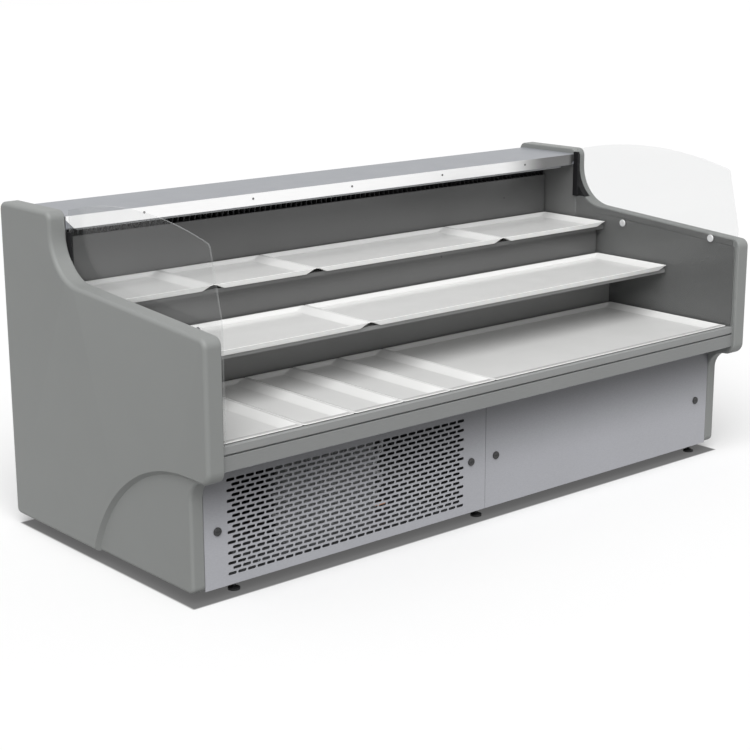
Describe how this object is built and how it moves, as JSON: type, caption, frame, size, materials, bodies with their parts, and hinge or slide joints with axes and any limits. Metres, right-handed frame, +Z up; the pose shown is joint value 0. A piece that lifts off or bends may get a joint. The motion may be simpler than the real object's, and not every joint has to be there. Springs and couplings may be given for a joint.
{
  "type": "refrigerated serve-over counter",
  "caption": "Open-front refrigerated display counter with side glass, stepped tray levels, a top shelf and a condensing unit behind a slotted kick panel.",
  "frame": {"origin": "centre of the counter's footprint, on the floor under its feet", "axes": "+X along the counter to the customer's right, +Y from the customer's side to the server's side, +Z up"},
  "size_m": [2.54, 1.17, 1.1821],
  "materials": {
    "aluminium": "mill finish",
    "black_plastic": "matte",
    "bright_steel": "brushed, bright",
    "bumper_grey": "matte",
    "clear_glass": "clear",
    "compressor_black": "gloss",
    "copper": "bare copper",
    "dark_sheet": "half gloss",
    "drain_white": "matte",
    "fan_grey": "matte",
    "foam": "matte, closed-cell foam",
    "galvanised": "dull galvanised",
    "kick_grey": "satin with a fine grain",
    "lamp_white": "translucent",
    "liner_steel": "brushed",
    "motor_grey": "satin",
    "moulded_grey": "matte, softly rounded rims",
    "polished_steel": "polished",
    "shelf_grey": "satin",
    "switch_green": "gloss",
    "white_tray": "gloss"
  },
  "bodies": {
    "cabinet": {"end_panel_left": "moulded_grey", "end_panel_right": "moulded_grey", "base_frame": "galvanised", "levelling_feet": "black_plastic", "tank_outer_skin": "galvanised", "rear_service_panel": "galvanised", "machine_tray": "galvanised", "tank_insulation": "foam", "tank_liner": "liner_steel", "side_lining_left": "dark_sheet", "side_lining_right": "dark_sheet", "middle_step": "dark_sheet", "upper_step": "dark_sheet", "deck_plate": "dark_sheet", "duct_panel": "dark_sheet", "return_air_grille": "dark_sheet", "evaporator_fan_board": "dark_sheet", "shelf_supports": "dark_sheet", "air_outlet_comb": "black_plastic", "top_shelf": "shelf_grey", "front_strip": "bright_steel", "strip_screws": "polished_steel", "glass_fixings": "polished_steel", "shelf_lamp": "lamp_white", "bumper_upper_rail": "bumper_grey", "bumper_lower_rail": "bumper_grey", "side_glass_left": "clear_glass", "side_glass_right": "clear_glass", "evaporator_coil": "aluminium", "condenser_coil": "aluminium", "evaporator_fan_motors": "motor_grey", "condenser_fan_motor": "motor_grey", "fan_shroud": "motor_grey", "compressor": "compressor_black", "pipework": "copper", "drain_pipe": "drain_white", "control_box": "black_plastic", "cable_gland": "black_plastic"},
    "kick_panel_vent_body": {"kick_panel_vent": "kick_grey"},
    "kick_panel_plain_body": {"kick_panel_plain": "kick_grey"},
    "panel_fastener_1_body": {"panel_fastener_1": "black_plastic"},
    "panel_fastener_2_body": {"panel_fastener_2": "black_plastic"},
    "panel_fastener_3_body": {"panel_fastener_3": "black_plastic"},
    "panel_fastener_4_body": {"panel_fastener_4": "black_plastic"},
    "evaporator_fan_left_body": {"evaporator_fan_left": "fan_grey"},
    "evaporator_fan_right_body": {"evaporator_fan_right": "fan_grey"},
    "condenser_fan_body": {"condenser_fan": "fan_grey"},
    "main_switch_body": {"main_switch": "switch_green"},
    "deck_tray_1_body": {"deck_tray_1": "white_tray"},
    "deck_tray_2_body": {"deck_tray_2": "white_tray"},
    "deck_tray_3_body": {"deck_tray_3": "white_tray"},
    "deck_tray_4_body": {"deck_tray_4": "white_tray"},
    "deck_tray_5_body": {"deck_tray_5": "white_tray"},
    "deck_tray_6_body": {"deck_tray_6": "white_tray"},
    "middle_tray_1_body": {"middle_tray_1": "white_tray"},
    "middle_tray_2_body": {"middle_tray_2": "white_tray"},
    "upper_tray_1_body": {"upper_tray_1": "white_tray"},
    "upper_tray_2_body": {"upper_tray_2": "white_tray"},
    "upper_tray_3_body": {"upper_tray_3": "white_tray"},
    "upper_tray_4_body": {"upper_tray_4": "white_tray"}
  },
  "joints": [
    {"name": "deck_tray_1_lift", "type": "slide", "parent": "cabinet", "child": "deck_tray_1_body", "axis": [0, -0.8829, 0.4695], "range_m": [0, 0.75]},
    {"name": "deck_tray_2_lift", "type": "slide", "parent": "cabinet", "child": "deck_tray_2_body", "axis": [0, -0.8829, 0.4695], "range_m": [0, 0.75]},
    {"name": "deck_tray_3_lift", "type": "slide", "parent": "cabinet", "child": "deck_tray_3_body", "axis": [0, -0.8829, 0.4695], "range_m": [0, 0.75]},
    {"name": "deck_tray_4_lift", "type": "slide", "parent": "cabinet", "child": "deck_tray_4_body", "axis": [0, -0.8829, 0.4695], "range_m": [0, 0.75]},
    {"name": "deck_tray_5_lift", "type": "slide", "parent": "cabinet", "child": "deck_tray_5_body", "axis": [0, -0.8829, 0.4695], "range_m": [0, 0.75]},
    {"name": "deck_tray_6_lift", "type": "slide", "parent": "cabinet", "child": "deck_tray_6_body", "axis": [0, -0.8829, 0.4695], "range_m": [0, 0.75]},
    {"name": "middle_tray_1_lift", "type": "slide", "parent": "cabinet", "child": "middle_tray_1_body", "axis": [0, -0.8829, 0.4695], "range_m": [0, 0.85]},
    {"name": "middle_tray_2_lift", "type": "slide", "parent": "cabinet", "child": "middle_tray_2_body", "axis": [0, -0.8829, 0.4695], "range_m": [0, 0.85]},
    {"name": "upper_tray_1_lift", "type": "slide", "parent": "cabinet", "child": "upper_tray_1_body", "axis": [0, -0.8829, 0.4695], "range_m": [0, 1.15]},
    {"name": "upper_tray_2_lift", "type": "slide", "parent": "cabinet", "child": "upper_tray_2_body", "axis": [0, -0.8829, 0.4695], "range_m": [0, 1.15]},
    {"name": "upper_tray_3_lift", "type": "slide", "parent": "cabinet", "child": "upper_tray_3_body", "axis": [0, -0.8829, 0.4695], "range_m": [0, 1.15]},
    {"name": "upper_tray_4_lift", "type": "slide", "parent": "cabinet", "child": "upper_tray_4_body", "axis": [0, -0.8829, 0.4695], "range_m": [0, 1.15]},
    {"name": "kick_panel_vent_pull", "type": "slide", "parent": "cabinet", "child": "kick_panel_vent_body", "axis": [0, -1, 0], "range_m": [0, 0.25]},
    {"name": "kick_panel_plain_pull", "type": "slide", "parent": "cabinet", "child": "kick_panel_plain_body", "axis": [0, -1, 0], "range_m": [0, 0.25]},
    {"name": "panel_fastener_1_turn", "type": "hinge", "parent": "kick_panel_vent_body", "child": "panel_fastener_1_body", "pos_m": [-1.156, -0.464, 0.223], "axis": [0, -1, 0], "range_deg": [0, 90]},
    {"name": "panel_fastener_2_turn", "type": "hinge", "parent": "kick_panel_vent_body", "child": "panel_fastener_2_body", "pos_m": [-0.079, -0.464, 0.223], "axis": [0, -1, 0], "range_deg": [0, 90]},
    {"name": "panel_fastener_3_turn", "type": "hinge", "parent": "kick_panel_plain_body", "child": "panel_fastener_3_body", "pos_m": [0.041, -0.464, 0.223], "axis": [0, -1, 0], "range_deg": [0, 90]},
    {"name": "panel_fastener_4_turn", "type": "hinge", "parent": "kick_panel_plain_body", "child": "panel_fastener_4_body", "pos_m": [1.136, -0.464, 0.223], "axis": [0, -1, 0], "range_deg": [0, 90]},
    {"name": "evaporator_fan_left_spin", "type": "hinge", "parent": "cabinet", "child": "evaporator_fan_left_body", "pos_m": [-0.62, 0.251, 0.586], "axis": [0, -1, 0], "continuous": true},
    {"name": "evaporator_fan_right_spin", "type": "hinge", "parent": "cabinet", "child": "evaporator_fan_right_body", "pos_m": [0.62, 0.251, 0.586], "axis": [0, -1, 0], "continuous": true},
    {"name": "condenser_fan_spin", "type": "hinge", "parent": "cabinet", "child": "condenser_fan_body", "pos_m": [-0.64, -0.28, 0.24], "axis": [0, -1, 0], "continuous": true},
    {"name": "main_switch_rock", "type": "hinge", "parent": "cabinet", "child": "main_switch_body", "pos_m": [0.745, 0.5465, 0.238], "axis": [1, 0, 0], "range_deg": [0, 16]}
  ]
}
